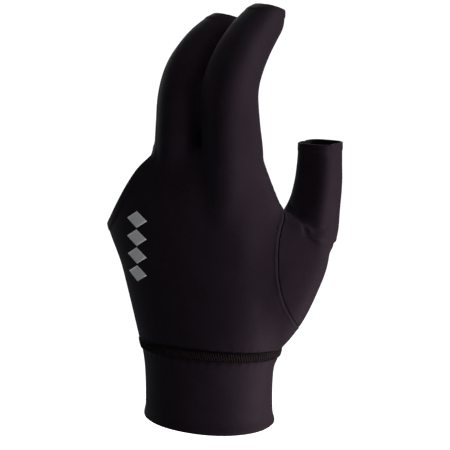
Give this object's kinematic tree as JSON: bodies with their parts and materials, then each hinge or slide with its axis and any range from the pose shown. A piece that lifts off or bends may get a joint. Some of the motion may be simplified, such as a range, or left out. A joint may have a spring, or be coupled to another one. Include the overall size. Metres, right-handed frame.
{
  "type": "billiard glove",
  "caption": "Close-fitting stretch fabric glove for the bridge hand in billiards, with open-tipped thumb, index and middle sleeves and one open side for the other fingers.",
  "frame": {"origin": "centre of the wrist opening, at the level of the cuff's hem", "axes": "+Z from the wrist towards the fingertips, -Y out of the back of the hand, +X towards the thumb"},
  "size_m": [0.106, 0.0567, 0.1938],
  "materials": {
    "stretch_fabric": "fine knit with a soft sheen",
    "cuff_fabric": "fine knit, folded double",
    "seam_thread": "matte overlocked thread"
  },
  "bodies": {
    "root": {"hand_shell": "stretch_fabric", "thumb_sleeve": "stretch_fabric", "wrist_cuff": "cuff_fabric", "cuff_seam": "seam_thread"}
  },
  "joints": []
}
